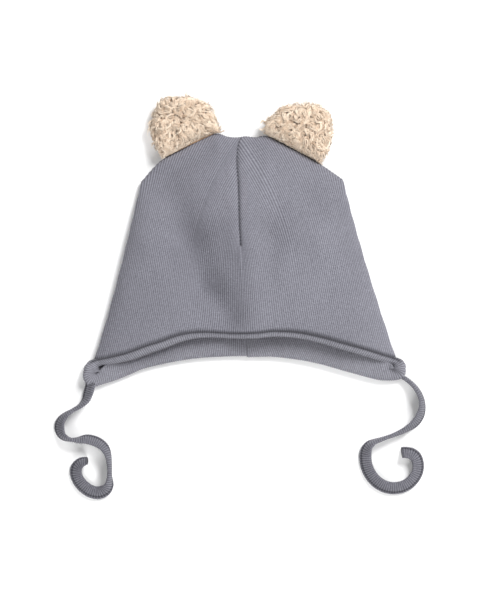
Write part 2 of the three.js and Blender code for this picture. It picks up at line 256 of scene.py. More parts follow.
# Soft folds of the upper layer: each runs from one point to another, with its breadth and height.
FOLDS = (
    # x1, y1, x2, y2, breadth, height
    (-2.0, 3.0, -1.0, -1.0, 12.0, 2.6),
    (8.0, -20.0, 6.0, -54.0, 12.0, 3.0),
    (24.0, -24.0, 22.0, -54.0, 14.0, 1.6),
    (-50.0, 28.0, -42.0, 4.0, 15.0, -6.0),
    (-38.0, -2.0, -28.0, -28.0, 13.5, -7.5),
    (-24.0, -32.0, -13.0, -49.0, 11.0, -5.5),
    (17.0, 0.0, 13.0, -20.0, 8.0, -2.8),
    (34.0, 34.0, 68.0, -10.0, 9.0, -2.6),
    (-60.0, 38.0, -26.0, 58.0, 7.0, -3.0),
    (16.0, 44.0, 46.0, 44.0, 10.0, 2.2),
    (34.0, -30.0, 44.0, -46.0, 12.0, 1.4),
)

# The ties' middle lines: place, and how far the tie is turned about its own line in degrees.
# At 0 it lies flat with its stitched edge on the right of the way it runs, and at 180 on the left.
TIES = {
    "tie_left": (
        # x, y, turn
        (-100.2, -92.8, 42),
        (-100.6, -94.6, 42),
        (-101.8, -99.0, 44),
        (-103.2, -103.0, 58),
        (-107.0, -107.0, 78),
        (-112.0, -110.0, 86),
        (-116.2, -112.8, 72),
        (-119.6, -117.0, 50),
        (-120.4, -121.8, 41),
        (-118.4, -126.2, 55),
        (-114.1, -128.6, 77),
        (-108.4, -129.0, 105),
        (-102.0, -128.6, 128),
        (-95.6, -130.6, 131),
        (-90.9, -134.4, 122),
        (-88.6, -139.6, 106),
        (-87.8, -146.0, 98),
        (-87.8, -152.8, 100),
        (-88.4, -158.4, 128),
        (-91.3, -162.0, 156),
        (-96.2, -163.5, 174),
        (-102.0, -161.6, 176),
        (-107.0, -157.0, 166),
        (-109.6, -151.8, 158),
        (-109.3, -147.1, 150),
        (-106.6, -143.9, 135),
        (-102.4, -142.4, 112),
    ),
    "tie_right": (
        (101.6, -87.9, 101),
        (104.3, -89.6, 101),
        (108.3, -92.8, 102),
        (111.7, -96.9, 105),
        (114.2, -102.2, 110),
        (114.8, -107.8, 118),
        (113.4, -113.4, 128),
        (109.9, -118.2, 126),
        (104.3, -122.1, 112),
        (97.4, -125.4, 101),
        (90.0, -128.0, 90),
        (83.5, -130.3, 76),
        (79.7, -133.5, 50),
        (78.1, -138.5, 28),
        (78.5, -144.5, 24),
        (80.8, -150.7, 20),
        (85.0, -155.9, 18),
        (90.5, -159.3, 18),
        (96.8, -160.4, 20),
        (103.0, -159.1, 22),
        (108.0, -155.7, 24),
        (111.4, -150.7, 26),
        (112.3, -145.5, 26),
        (111.1, -140.8, 28),
        (108.0, -138.0, 32),
        (104.3, -137.2, 38),
        (101.8, -137.2, 44),
    ),
}

# The ears' outlines with the pile on, from the left end of their seam over the top to its right end.
EARS = {
    "ear_left": (
        (-53.6, 51.6),
        (-58.4, 61.9),
        (-61.0, 71.0),
        (-59.8, 80.3),
        (-56.3, 87.9),
        (-51.4, 92.4),
        (-43.8, 92.8),
        (-36.3, 93.2),
        (-29.8, 91.5),
        (-24.3, 88.2),
        (-20.8, 82.4),
        (-18.2, 76.5),
        (-16.0, 69.6),
    ),
    "ear_right": (
        (14.6, 67.4),
        (11.4, 73.2),
        (13.6, 77.6),
        (18.4, 81.2),
        (21.8, 85.4),
        (27.7, 88.1),
        (35.2, 88.3),
        (41.7, 88.6),
        (49.3, 86.0),
        (54.3, 82.6),
        (55.6, 76.7),
        (55.8, 68.6),
        (54.5, 61.5),
        (51.5, 55.0),
        (48.8, 49.8),
    ),
}

# ---------------------------------------------------------------------------
# Lines and distances
# ---------------------------------------------------------------------------


def mix(a, b, share):
    return a + (b - a) * share


def smooth(share):
    share = np.clip(share, 0.0, 1.0)
    return share * share * (3 - 2 * share)


def bell(distance, breadth):
    """1 at no distance, and falling softly to nothing within about two breadths."""
    return np.exp(-((distance / breadth) ** 2))


def round_rise(distance, over):
    """From 0 at an edge to 1 at a distance, starting upright as a round fold does."""
    left = 1 - np.clip(distance / over, 0, 1)
    return np.sqrt(1 - left * left)


def length_along(line):
    """How far each point of a line is along it, as seen from above."""
    steps = np.linalg.norm(np.diff(line[:, :2], axis=0), axis=1)
    return np.concatenate([[0.0], np.cumsum(steps)])


def at_lengths(line, along, where):
    """The line's columns at given distances along it."""
    return np.stack([np.interp(where, along, line[:, k]) for k in range(line.shape[1])], axis=1)


def at_even_steps(line, count):
    along = length_along(line)
    return at_lengths(line, along, np.linspace(0, along[-1], count))


def curve_through(rows, count):
    """Points at even distances along a smooth curve through the rows."""
    rows = np.asarray(rows, float)
    first = 2 * rows[0] - rows[1]
    final = 2 * rows[-1] - rows[-2]
    rows = np.vstack([first, rows, final])
    fine = []
    for a, b, c, d in zip(rows, rows[1:], rows[2:], rows[3:]):
        t = np.linspace(0, 1, 24, endpoint=False)[:, None]
        fine.append(
            0.5 * (2 * b + (c - a) * t + (2 * a - 5 * b + 4 * c - d) * t**2 + (3 * b - a - 3 * c + d) * t**3)
        )
    return at_even_steps(np.vstack(fine + [rows[-2:-1]]), count)


def bezier(p0, p1, p2, p3, t):
    return (1 - t) ** 3 * p0 + 3 * (1 - t) ** 2 * t * p1 + 3 * (1 - t) * t**2 * p2 + t**3 * p3


def lean(degrees):
    """The direction that leans by an angle to the right of straight up."""
    angle = np.radians(degrees)
    return np.stack([np.sin(angle), np.cos(angle)], axis=-1)


def distance_to(plan, line):
    """How far points in plan are from a line of straight stretches."""
    best = np.full(plan.shape[:-1], 1e9)
    for a, b in zip(line[:-1], line[1:]):
        step = b - a
        share = np.clip(((plan - a) @ step) / (step @ step), 0, 1)
        gap = np.linalg.norm(plan - a - share[..., None] * step, axis=-1)
        best = np.minimum(best, gap)
    return best


def inside(plan, outline):
    """Whether each point in plan is inside a closed outline."""
    x, y = plan[..., 0], plan[..., 1]
    crossed = np.zeros(x.shape, bool)
    for (ax, ay), (bx, by) in zip(outline, np.roll(outline, -1, axis=0)):
        between = (ay > y) != (by > y)
        reach = (bx - ax) * (y - ay) / (by - ay + 1e-12) + ax
        crossed ^= between & (x < reach)
    return crossed


# ---------------------------------------------------------------------------
# The crown's plan: every column of its front is a line of the knit
# ---------------------------------------------------------------------------

front_brim = curve_through([row[:2] for row in BAND[LEFT_CORNER_ROW : RIGHT_CORNER_ROW + 1]], 401)
back_brim = curve_through(BACK_BRIM, 401)
dart_line = curve_through(DART, 60)
top_line = {side: curve_through(rows, 200) for side, rows in TOP_SEAM.items()}
corner = {-1: front_brim[0], 1: front_brim[-1]}


def fold_line(side):
    low, high = corner[side], top_line[side][-1]
    reach = np.linalg.norm(high - low) / 3
    t = np.linspace(0, 1, 60)[:, None]
    return bezier(
        low,
        low + reach * lean(-side * FOLD_LEAN_LOW),
        high - reach * lean(-side * FOLD_LEAN_HIGH),
        high,
        t,
    )


side_fold = {side: fold_line(side) for side in (-1, 1)}
whole_top = np.vstack([top_line[-1][::-1], top_line[1][1:]])
crown_outline = np.vstack([whole_top, side_fold[1][::-1], side_fold[-1]])


def to_side_folds(plan):
    return np.minimum(distance_to(plan, side_fold[-1]), distance_to(plan, side_fold[1]))


def fold_heights(plan):
    total = np.zeros(plan.shape[:-1])
    for x1, y1, x2, y2, breadth, height in FOLDS:
        total += height * bell(distance_to(plan, np.array([(x1, y1), (x2, y2)])), breadth)
    return total


def front_height(plan):
    rise = round_rise(to_side_folds(plan), SIDE_RISE) * round_rise(distance_to(plan, whole_top), TOP_RISE)
    lift = mix(BRIM_LIFT, CROWN_LIFT, smooth((plan[..., 1] + LIFT_RUN) / LIFT_RUN))
    to_dart = distance_to(plan, dart_line)
    dart = -DART_GROOVE * bell(to_dart, 1.1) + 0.5 * bell(to_dart - 5, 4)
    return FOLD_RADIUS + rise * (lift + fold_heights(plan)) + dart * np.minimum(rise * 1.6, 1)


def brim_places(side):
    """Where each column of one half starts on the brim."""
    half = front_brim[front_brim[:, 0] * side >= BRIM_MIDDLE_X * side]
    if side < 0:
        half = half[::-1]
    middle_y = np.interp(BRIM_MIDDLE_X, front_brim[:, 0], front_brim[:, 1])
    return at_even_steps(np.vstack([[BRIM_MIDDLE_X, middle_y], half]), HALF_RIBS * STEPS_A_RIB + 1)


def seam_lean(share):
    """How far the ribs lean where they end on the top seam, from the dart to the shoulder."""
    return mix(SEAM_LEAN, FOLD_LEAN_HIGH, share**1.8)


def across_ribs(seam, inwards):
    """Shares of the ribs that have ended along a seam, when their pitch stays even."""
    step = np.gradient(seam, axis=0)
    rib = lean(inwards * seam_lean(np.linspace(0, 1, len(seam))))
    across = np.abs(step[:, 0] * rib[:, 1] - step[:, 1] * rib[:, 0])
    total = np.cumsum(across) - across[0]
    return total / total[-1]


def half_front(side):
    """One half's plan, rows by columns, from the middle out to the side fold."""
    start = brim_places(side)
    share = np.linspace(0, 1, len(start))
    in_dart = DART_RIBS / HALF_RIBS
    dart_share = np.clip(share / in_dart, 0, 1)
    seam_share = np.clip((share - in_dart) / (1 - in_dart), 0, 1)
    on_dart = at_lengths(dart_line, np.linspace(0, 1, len(dart_line)), dart_share)
    on_seam = at_lengths(top_line[side], across_ribs(top_line[side], -side), seam_share)
    end = np.where((share <= in_dart)[:, None], on_dart, on_seam)

    low_lean = FOLD_LEAN_LOW * share**0.4
    high_lean = np.where(share <= in_dart, mix(POINT_LEAN, SEAM_LEAN, dart_share), seam_lean(seam_share))
    span = np.linalg.norm(end - start, axis=1)
    over_point = np.maximum(end[:, 1] - DART[0][1], 0)
    reach_high = np.where(
        share <= in_dart, np.minimum(over_point + 2, 0.5 * span), mix(0.5, 1 / 3, seam_share) * span
    )
    reach_low = span / 3
    t = 1 - (1 - np.linspace(0, 1, CROWN_ROWS + 1)) ** 1.3  # rows lie closer together at the top
    return bezier(
        start[None],
        (start + reach_low[:, None] * lean(-side * low_lean))[None],
        (end - reach_high[:, None] * lean(-side * high_lean))[None],
        end[None],
        t[:, None, None],
    )


# ---------------------------------------------------------------------------
# Meshes
# ---------------------------------------------------------------------------


def vertex_normals(points, faces):
    """Outward directions at the vertices of a mesh of four-sided and three-sided faces."""
    total = np.zeros_like(points)
    for size in (3, 4):
        group = np.array([f for f in faces if len(f) == size], int)
        if not len(group):
            continue
        a, b, c = points[group[:, 0]], points[group[:, 1]], points[group[:, 2]]
        d = points[group[:, -1]]
        direction = np.cross(c - a, d - b) if size == 4 else np.cross(b - a, c - a)
        for k in range(size):
            np.add.at(total, group[:, k], direction)
    return total / np.maximum(np.linalg.norm(total, axis=1, keepdims=True), 1e-12)


def new_piece(name, points, faces, charts=None):
    """A mesh object from points in millimetres. charts maps a UV map's name to a pair for each point."""
    mesh = bpy.data.meshes.new(name)
    mesh.from_pydata((np.asarray(points) * MM).tolist(), [], faces)
    corner_points = np.zeros(len(mesh.loops), np.int32)
    mesh.loops.foreach_get("vertex_index", corner_points)
    for chart, pairs in (charts or {}).items():
        layer = mesh.uv_layers.new(name=chart)
        layer.data.foreach_set("uv", np.asarray(pairs, np.float32)[corner_points].ravel())
    mesh.polygons.foreach_set("use_smooth", np.ones(len(mesh.polygons), bool))
    mesh.validate()
    mesh.update()
    piece = bpy.data.objects.new(name, mesh)
    bpy.context.scene.collection.objects.link(piece)
    return piece


def select_only(piece):
    bpy.ops.object.select_all(action="DESELECT")
    piece.select_set(True)
    bpy.context.view_layer.objects.active = piece


def apply_modifier(piece, kind, **settings):
    select_only(piece)
    modifier = piece.modifiers.new(kind.lower(), kind)
    for key, value in settings.items():
        setattr(modifier, key, value)
    bpy.ops.object.modifier_apply(modifier=modifier.name)


def grid_faces(numbers, closed=False, flip=False):
    """Four-sided faces over a grid of vertex numbers, joined up in its second direction if closed."""
    a = numbers[:-1] if closed else numbers[:-1, :-1]
    b = np.roll(numbers, -1, axis=1)[:-1] if closed else numbers[:-1, 1:]
    c = np.roll(numbers, -1, axis=1)[1:] if closed else numbers[1:, 1:]
    d = numbers[1:] if closed else numbers[1:, :-1]
    faces = np.stack([a, b, c, d], axis=-1).reshape(-1, 4)
    return (faces[:, ::-1] if flip else faces).tolist()


def zip_faces(lower, upper, lower_share, upper_share):
    """Triangles between two rows of vertices that run side by side."""
    faces = []
    i = j = 0
    while i < len(lower) - 1 or j < len(upper) - 1:
        go_lower = j == len(upper) - 1 or (
            i < len(lower) - 1 and lower_share[i + 1] <= upper_share[j + 1]
        )
        if go_lower:
            faces.append((lower[i], lower[i + 1], upper[j]))
            i += 1
        else:
            faces.append((lower[i], upper[j + 1], upper[j]))
            j += 1
    return faces


def rib_relief(rib_number):
    """The height of the ribs, round on top and narrow in the valleys."""
    wave = 0.5 + 0.5 * np.cos(2 * np.pi * rib_number)
    return RIB_DEPTH * (wave**0.7 - 0.5)


def knit_charts(rib_number, along, dark):
    """The UV maps that the jersey reads: a place in the knit, and how much painted shade it takes in seam
    grooves and under the roll, and how dark a tie's cut end is.
    """
    return {
        "ribs": np.column_stack([rib_number.ravel(), along.ravel()]),
        "shade": np.column_stack([dark.ravel(), np.zeros(dark.size)]),
    }


# ---------------------------------------------------------------------------
# The crown
# ---------------------------------------------------------------------------


def front_grid():
    """The front layer's points, rows from the brim up by columns from left to right."""
    halves = {}
    for side in (-1, 1):
        plan = half_front(side)
        height = front_height(plan) - BRIM_GROOVE * bell(distance_to(plan, front_brim), 0.7)
        halves[side] = np.dstack([plan, height])
    return np.concatenate([halves[-1][:, ::-1], halves[1][:, 1:]], axis=1)


def back_grid(left_fold, right_fold):
    """The back layer's points, rows by columns from left to right, without the two folds."""
    quarter = FOLD_RADIUS * (1 - np.cos(np.linspace(0, np.pi / 2, 5)))
    width = np.linalg.norm(corner[1] - corner[-1])
    inner = np.linspace(quarter[-1] / width, 1 - quarter[-1] / width, BACK_COLUMNS + 1)
    across = np.concatenate([quarter[1:-1] / width, inner, 1 - quarter[1:-1][::-1] / width])
    low = at_lengths(back_brim, np.linspace(0, 1, len(back_brim)), across)
    high = at_lengths(whole_top, np.linspace(0, 1, len(whole_top)), across)
    rows = []
    for left, right in zip(left_fold[:-1, :2], right_fold[:-1, :2]):
        up_left = np.linalg.norm(left - corner[-1]) / np.linalg.norm(whole_top[0] - corner[-1])
        up_right = np.linalg.norm(right - corner[1]) / np.linalg.norm(whole_top[-1] - corner[1])
        up = np.minimum(mix(up_left, up_right, across), 1)[:, None]
        left_gap = left - mix(corner[-1], whole_top[0], up[:1])
        right_gap = right - mix(corner[1], whole_top[-1], up[-1:])
        rows.append(mix(low, high, up) + (1 - across)[:, None] * left_gap + across[:, None] * right_gap)
    plan = np.array(rows)
    to_top = distance_to(plan, whole_top)
    down = round_rise(to_side_folds(plan), FOLD_RADIUS) * round_rise(to_top, FOLD_RADIUS)
    return np.dstack([plan, FOLD_RADIUS * (1 - down)])


def crown_faces(front, back, points):
    """The faces of both layers, which meet at the side folds, the dart and the top seam."""
    middle = front.shape[1] // 2
    in_dart = DART_RIBS * STEPS_A_RIB
    numbers = np.arange(front[..., 0].size).reshape(front.shape[:2])
    # The columns that end in the dart share their last points with the other half's.
    for k in range(1, in_dart + 1):
        numbers[-1, middle + k] = numbers[-1, middle - k]
    back_numbers = np.arange(back[..., 0].size).reshape(back.shape[:2]) + front[..., 0].size
    ring = np.hstack([numbers[:-1, -1:], back_numbers, numbers[:-1, :1]])
    faces = grid_faces(numbers) + grid_faces(ring)

    # The top seam: the back layer's last row is sewn to the front's last row.
    lower = list(ring[-1])
    seam = [*numbers[-1, : middle - in_dart + 1], *numbers[-1, middle + in_dart + 1 :]][::-1]
    shares = []
    for chain in (lower, seam):
        along = length_along(points[chain])
        shares.append(along / along[-1])
    faces += zip_faces(lower, seam, *shares)
    faces = [tuple(dict.fromkeys(face)) for face in faces]
    return [face for face in faces if len(face) > 2]


def crown_knit(front, back):
    """The number of the rib that each point is on, and how far along that rib it is."""
    column = np.abs(np.arange(front.shape[1]) - front.shape[1] // 2) / STEPS_A_RIB
    rising = np.linspace(0, 1, front.shape[0])[:, None]
    past_dart = np.clip((column - DART_RIBS) / (HALF_RIBS - DART_RIBS), 0, 1)
    front_ribs = column - RIBS_OVER_FOLD * past_dart * rising
    back_step = np.linalg.norm(np.diff(back[..., :2], axis=1, prepend=front[:-1, -1:, :2]), axis=2)
    back_ribs = front_ribs[:-1, -1:] + np.cumsum(back_step, axis=1) / RIB_PITCH
    front_step = np.linalg.norm(np.diff(front, axis=0), axis=2)
    front_along = np.vstack([np.zeros(front.shape[1]), np.cumsum(front_step, axis=0)])
    back_along = np.repeat(front_along[:-1, :1], back.shape[1], axis=1)
    return (
        np.concatenate([front_ribs.ravel(), back_ribs.ravel()]),
        np.concatenate([front_along.ravel(), back_along.ravel()]),
    )


def unevenness(points, size, seed):
    """Soft chance waves of about the size given, from -1 to 1."""
    shift = Vector((seed * 7.3, seed * 3.1, seed * 1.7))
    return np.array([noise.noise(Vector(p) / size + shift) for p in points.tolist()])


def crown_relief(points, rib_number):
    """How far the ribs and the soft unevenness lift each point."""
    swell = 0.35 * unevenness(points, 26.0, 1) + 0.12 * unevenness(points, 9.0, 2)
    return rib_relief(rib_number) + swell * np.clip(to_side_folds(points[:, :2]) / CALM_EDGE, 0, 1)


def painted_seam_shade(plan):
    """How much painted shade each point takes in the grooves of the dart, the brim seam and the top seam,
    dotted along the dart by its stitches.
    """
    stitches = 0.75 + 0.25 * np.cos(2 * np.pi * plan[:, 1] / DART_STITCH)
    in_dart = stitches * bell(distance_to(plan, dart_line), 0.45)
    at_brim = bell(distance_to(plan, front_brim), 0.55)
    at_top = 0.45 * bell(distance_to(plan, whole_top), 0.7)
    return np.maximum.reduce([in_dart, at_brim, at_top])


def make_crown():
    front = front_grid()
    back = back_grid(front[:, 0], front[:, -1])[:, ::-1]
    points = np.vstack([front.reshape(-1, 3), back.reshape(-1, 3)])
    faces = crown_faces(front, back, points)
    rib_number, along = crown_knit(front, back)
    on_front = np.arange(len(points)) < front[..., 0].size
    raised = crown_relief(points, rib_number) * on_front
    points = points + vertex_normals(points, faces) * raised[:, None]
    charts = knit_charts(rib_number, along, painted_seam_shade(points[:, :2]) * on_front)
    crown = new_piece("crown_cloth", points, faces, charts)
    apply_modifier(crown, "SOLIDIFY", thickness=WALL * MM, offset=-1.0)
    return crown


# ---------------------------------------------------------------------------
# The binding
# ---------------------------------------------------------------------------


def band_stations():
    """The binding's table filled in for every step of its ribs."""
    line = curve_through(BAND, 2400)
    along = length_along(line[:, :2] + PITCH_LINE * rib_direction(line[:, 2]))
    stations = round(along[-1] / RIB_PITCH) * STEPS_A_RIB
    return at_lengths(line, along, np.linspace(0, along[-1], stations + 1))


def rib_direction(degrees):
    rib = np.radians(degrees)
    return np.stack([np.cos(rib), np.sin(rib)], axis=1)


def section_lines(width, turned, roll):
    """The band's middle line at each station: across, height and heading, from border to free edge."""
    tuck = (BAND_TUCK * turned + 0.1)[:, None]
    bend = (np.pi * BAND_BEND * turned + 0.1)[:, None]
    marks = np.concatenate(
        [
            np.linspace(0, 1, TUCK_STEPS + 1),
            np.linspace(1, 2, BEND_STEPS + 1)[1:],
            np.linspace(2, 3, WIDTH_STEPS + 1)[1:],
        ]
    )
    length = (
        np.clip(marks, 0, 1) * tuck
        + np.clip(marks - 1, 0, 1) * bend
        + np.clip(marks - 2, 0, 1) * width[:, None]
    )
    heading = np.pi * turned[:, None] * (1 - np.clip(marks - 1, 0, 1))
    heading = heading - np.radians(roll)[:, None] * np.clip(marks - 2, 0, 1)
    step = np.diff(length, axis=1)
    middle = (heading[:, 1:] + heading[:, :-1]) / 2
    border = np.zeros((len(width), 1))
    across = np.hstack([border, np.cumsum(step * np.cos(middle), axis=1)])
    up = np.hstack([border, np.cumsum(step * np.sin(middle), axis=1)])
    return across + (TUCK_START * turned**2)[:, None], up, heading, length


def section_ring(across, up, heading, wave):
    """The outline round that line: the outer face, the free edge, and the inner face back."""
    half = BAND_WALL / 2
    turn = heading[:, -1:] + np.radians(EDGE_ANGLES)
    reach = half + 0.5 * wave[:, -1:]
    ring_across = [
        across - (half + wave) * np.sin(heading),
        across[:, -1:] + reach * np.cos(turn),
        (across + half * np.sin(heading))[:, ::-1],
        across[:, :1] - 0.8 * half * np.cos(heading[:, :1]),
    ]
    ring_up = [
        up + (half + wave) * np.cos(heading),
        up[:, -1:] + reach * np.sin(turn),
        (up - half * np.cos(heading))[:, ::-1],
        up[:, :1] - 0.8 * half * np.sin(heading[:, :1]),
    ]
    return np.hstack(ring_across), np.hstack(ring_up)


def make_band():
    x, y, rib, width, turned, roll = band_stations().T
    border = np.column_stack([x, y])
    rib_number = np.arange(len(x)) / STEPS_A_RIB
    across, up, heading, length = section_lines(width, turned, roll)
    half = BAND_WALL / 2
    raised = np.maximum(front_height(border), CORNER_HEIGHT) - half
    up = up + mix(raised, half + 0.1, 1 - (1 - turned) ** 2)[:, None]

    # The groove where the binding is sewn to the front, and the one at its own joint.
    beyond = length - length[:, [TUCK_STEPS + BEND_STEPS]]
    at_seam = bell(beyond, 0.65) * (1 - smooth(turned * 4))[:, None]
    to_joint = np.minimum(rib_number, rib_number[-1] - rib_number)[:, None] * RIB_PITCH
    at_joint = bell(to_joint, 0.7) * np.ones_like(beyond)
    wave = rib_relief(rib_number)[:, None] - BRIM_GROOVE * at_seam - JOINT_GROOVE * at_joint

    ring_across, ring_up = section_ring(across, up, heading, wave)
    plan = border[:, None] + ring_across[..., None] * rib_direction(rib)[:, None]
    points = np.dstack([plan, np.maximum(ring_up, 0.0)])
    numbers = np.arange(ring_up.size).reshape(ring_up.shape)
    faces = grid_faces(numbers, closed=True)
    faces += [tuple(numbers[0]), tuple(numbers[-1][::-1])]

    edge_length = np.repeat(length[:, -1:], len(EDGE_ANGLES), axis=1) + 1
    ring_length = np.hstack([length, edge_length, length[:, ::-1] + 2, np.zeros((len(x), 1))])
    ring_ribs = np.repeat(rib_number[:, None], ring_up.shape[1], axis=1)
    # Painted shade on the roll's underside where it faces down, and in the grooves of the seam to the front
    # and of the joint.
    painted_underside_shade = smooth((-heading - np.radians(46.0)) / np.radians(30.0))
    dark = np.maximum.reduce([at_seam, 0.25 * at_joint, 0.85 * painted_underside_shade])
    dark = np.hstack([dark, np.repeat(dark[:, -1:], ring_up.shape[1] - dark.shape[1], axis=1)])
    return new_piece("binding", points.reshape(-1, 3), faces, knit_charts(ring_ribs, ring_length, dark))


# ---------------------------------------------------------------------------
# The ties
# ---------------------------------------------------------------------------


def tie_section():
    """A flat strip's outline, round at both edges: across it, and over its middle."""
    turn = np.linspace(0, 2 * np.pi, TIE_SECTION_POINTS, endpoint=False)
    across, over = np.cos(turn), np.sin(turn)
    across = np.sign(across) * np.abs(across) ** 0.55 * TIE_WIDTH / 2
    over = np.sign(over) * np.abs(over) ** 0.75 * TIE_THICK / 2
    return across, over


def tie_line(name):
    """The tie's middle at each step of its ribs, its three directions there, and its share of width."""
    rows = curve_through(TIES[name], 800)
    along = length_along(rows)
    stations = round(along[-1] / RIB_PITCH) * TIE_STEPS_A_RIB
    steps = np.linspace(0, along[-1], stations + 1)
    line = at_lengths(rows, along, steps)
    turn = np.radians(line[:, 2])
    spread = mix(TIE_GATHER[name], 1.0, smooth(steps / GATHER_LENGTH))
    height = (TIE_WIDTH * spread - TIE_THICK) / 2 * np.abs(np.sin(turn)) + TIE_THICK / 2 + 0.1
    middle = np.column_stack([line[:, :2], height])
    ahead = np.gradient(middle, axis=0)
    ahead /= np.linalg.norm(ahead, axis=1, keepdims=True)
    left = np.cross([0.0, 0.0, 1.0], ahead)
    left /= np.linalg.norm(left, axis=1, keepdims=True)
    above = np.cross(ahead, left)
    wide = np.cos(turn)[:, None] * left + np.sin(turn)[:, None] * above
    thin = -np.sin(turn)[:, None] * left + np.cos(turn)[:, None] * above
    return middle, ahead, wide, thin, spread


def make_tie(name):
    middle, ahead, wide, thin, spread = tie_line(name)
    across, over = tie_section()
    rib_number = np.arange(len(middle)) / TIE_STEPS_A_RIB
    wave = rib_relief(rib_number)[:, None]
    stitched = bell(across + TIE_WIDTH / 2 - TIE_LIP, 0.5)
    on_lip = across < TIE_LIP - TIE_WIDTH / 2
    on_edge = np.abs(across) > TIE_WIDTH / 2 - 0.8
    swell = np.where(on_lip, 0.35, 1.0) * wave - TIE_GROOVE * stitched
    thick = over + np.sign(over) * swell
    broad = (across + np.sign(across) * 0.4 * wave * on_edge) * spread[:, None]
    points = middle[:, None] + broad[..., None] * wide[:, None] + thick[..., None] * thin[:, None]

    # The cut end is blunt, with its corners rounded off.
    rounds = []
    for share, reach in ((0.93, 0.25), (0.6, 0.45)):
        rounds.append(middle[-1] + share * (points[-1] - middle[-1]) + reach * ahead[-1])
    points = np.concatenate([points, np.array(rounds)])
    points[..., 2] = np.maximum(points[..., 2], 0.0)
    numbers = np.arange(points.size // 3).reshape(points.shape[:2])
    faces = grid_faces(numbers, closed=True, flip=True)
    faces += [tuple(numbers[0][::-1]), tuple(numbers[-1])]

    rib_number = np.concatenate([rib_number, [rib_number[-1]] * len(rounds)])
    # The stitched groove takes painted shade, and the cut end is darker over its last 0.7 of a rib.
    raw_end = np.clip(1 - (rib_number[-1] - rib_number) / 0.7, 0, 1)
    dark = np.maximum(stitched[None], 0.7 * raw_end[:, None])
    ring_ribs = np.repeat(rib_number[:, None], len(across), axis=1)
    charts = knit_charts(ring_ribs, np.tile(across, (len(rib_number), 1)), dark)
    tie = new_piece(name + "_strip", points.reshape(-1, 3), faces, charts)
    return tie, middle * MM


# ---------------------------------------------------------------------------
# The ears
# ---------------------------------------------------------------------------


def ear_height(plan, outline):
    """The ear's skin under the pile, as a pad that is pinched at its seam and rounded elsewhere."""
    pinch = mix(0.55, 1.0, smooth(distance_to(plan, whole_top) / 8))
    return mix(EAR_RISE * 0.42, EAR_RISE, round_rise(distance_to(plan, outline), EAR_ROUND) * pinch)


def make_skin(name, outline):
    """The pad under the pile: rings from the middle out to the rim, and back in underneath."""
    middle = outline[:-1].mean(axis=0)
    rim = middle + (outline[:-1] - middle) * SKIN_SHARE
    over, under = [], []
    for share in np.cos(np.linspace(0, np.pi / 2, 8)[:-1]) ** 0.8:
        plan = middle + (rim - middle) * share
        top = ear_height(plan, outline) - SKIN_DEPTH
        over.append(np.column_stack([plan, top]))
        under.append(np.column_stack([plan, np.maximum(EAR_RISE * 0.84 - SKIN_DEPTH - top, 0.4)]))
    points = np.array(over[::-1] + under[1:])
    numbers = np.arange(points.size // 3).reshape(points.shape[:2])
    faces = grid_faces(numbers, closed=True)
    faces += [tuple(numbers[0]), tuple(numbers[-1][::-1])]
    # The skin's tone chart is all 0, so it takes the pile's root colour, painted shade under the strands.
    return new_piece(name + "_skin", points.reshape(-1, 3), faces, {"tone": np.zeros((numbers.size, 2))})


def place_clumps(outline, dice):
    """Where each clump of strands is rooted, and which way it lies: out from a parting, but tangled."""
    parting = outline[:-1].mean(axis=0) + np.array([0.0, 4.0])
    roots = dice.uniform(outline.min(axis=0), outline.max(axis=0), (EAR_CLUMPS * 3, 2))
    roots = roots[inside(roots, outline) & (distance_to(roots, outline) > 1.2)][:EAR_CLUMPS]
    away = roots - parting
    swirl = np.array([noise.noise(Vector((x / 8, y / 8, 3.3))) for x, y in roots])
    tangle = 0.35 + 1.3 * bell(np.linalg.norm(away, axis=1), 8)
    flow = np.arctan2(away[:, 1] - 2.0, away[:, 0] * 0.7) + 2.0 * swirl + dice.normal(0, tangle)
    return roots, flow


def lay_strands(roots, flow, dice):
    """Each strand's path in plan, its lift and its tint. Those of one clump run nearly together."""
    count = len(roots)
    many = count * STRANDS_A_CLUMP

    def for_clumps(values, spread):
        return (np.repeat(values, STRANDS_A_CLUMP) + dice.normal(0, spread, many))[:, None]

    t = np.linspace(0, 1, STRAND_STEPS + 1)[None]
    length = for_clumps(dice.uniform(*STRAND_LENGTH, count), 0.9)
    waves = for_clumps(dice.uniform(*STRAND_WAVES, count), 0.06)
    phase = for_clumps(dice.uniform(0, 2 * np.pi, count), 0.3)
    swing = for_clumps(dice.uniform(*STRAND_SWING, count), 0.1)
    lift = for_clumps(dice.uniform(*STRAND_LIFT, count), 0.2)
    tint = for_clumps(dice.uniform(0, 1, count), 0.16)
    heading = for_clumps(flow, 0.08) + for_clumps(dice.normal(0, 0.6, count), 0.1) * t
    ahead = np.stack([np.cos(heading), np.sin(heading)], axis=-1)
    aside = np.stack([-np.sin(heading), np.cos(heading)], axis=-1)
    run = np.cumsum(ahead, axis=1) * (length / STRAND_STEPS)[..., None]
    sway = swing * np.sin(2 * np.pi * waves * t + phase) * np.minimum(1, 3 * t)
    apart = dice.normal(0, 0.42, (many, 1, 2)) * (1 - 0.7 * t)[..., None]
    start = np.repeat(roots, STRANDS_A_CLUMP, axis=0)[:, None] - 0.35 * length[..., None] * ahead[:, :1]
    return start + run + aside * sway[..., None] + apart, lift, tint[:, 0]


def trim_strands(paths, outline, dice):
    """The strands that stay, each cut at the seam, with only its tip past the rim."""
    least, most = STRAND_PASSES
    passes = np.minimum(least + dice.exponential(0.9, len(paths) // STRANDS_A_CLUMP), most)
    passes = np.repeat(passes, STRANDS_A_CLUMP)[:, None]
    clear = ~inside(paths, crown_outline) | (distance_to(paths, whole_top) < 0.2)
    clear &= inside(paths, outline) | (distance_to(paths, outline) < passes)
    places = np.arange(STRAND_STEPS + 1)
    kept, trimmed = [], []
    for k, good in enumerate(clear):
        first = np.argmax(good)
        stops = np.flatnonzero(~good[first:])
        count = stops[0] if len(stops) else len(places) - first
        if count > STRAND_STEPS / 2:
            kept.append(k)
            trimmed.append(at_lengths(paths[k], places, np.linspace(first, first + count - 1, len(places))))
    return kept, np.array(trimmed)


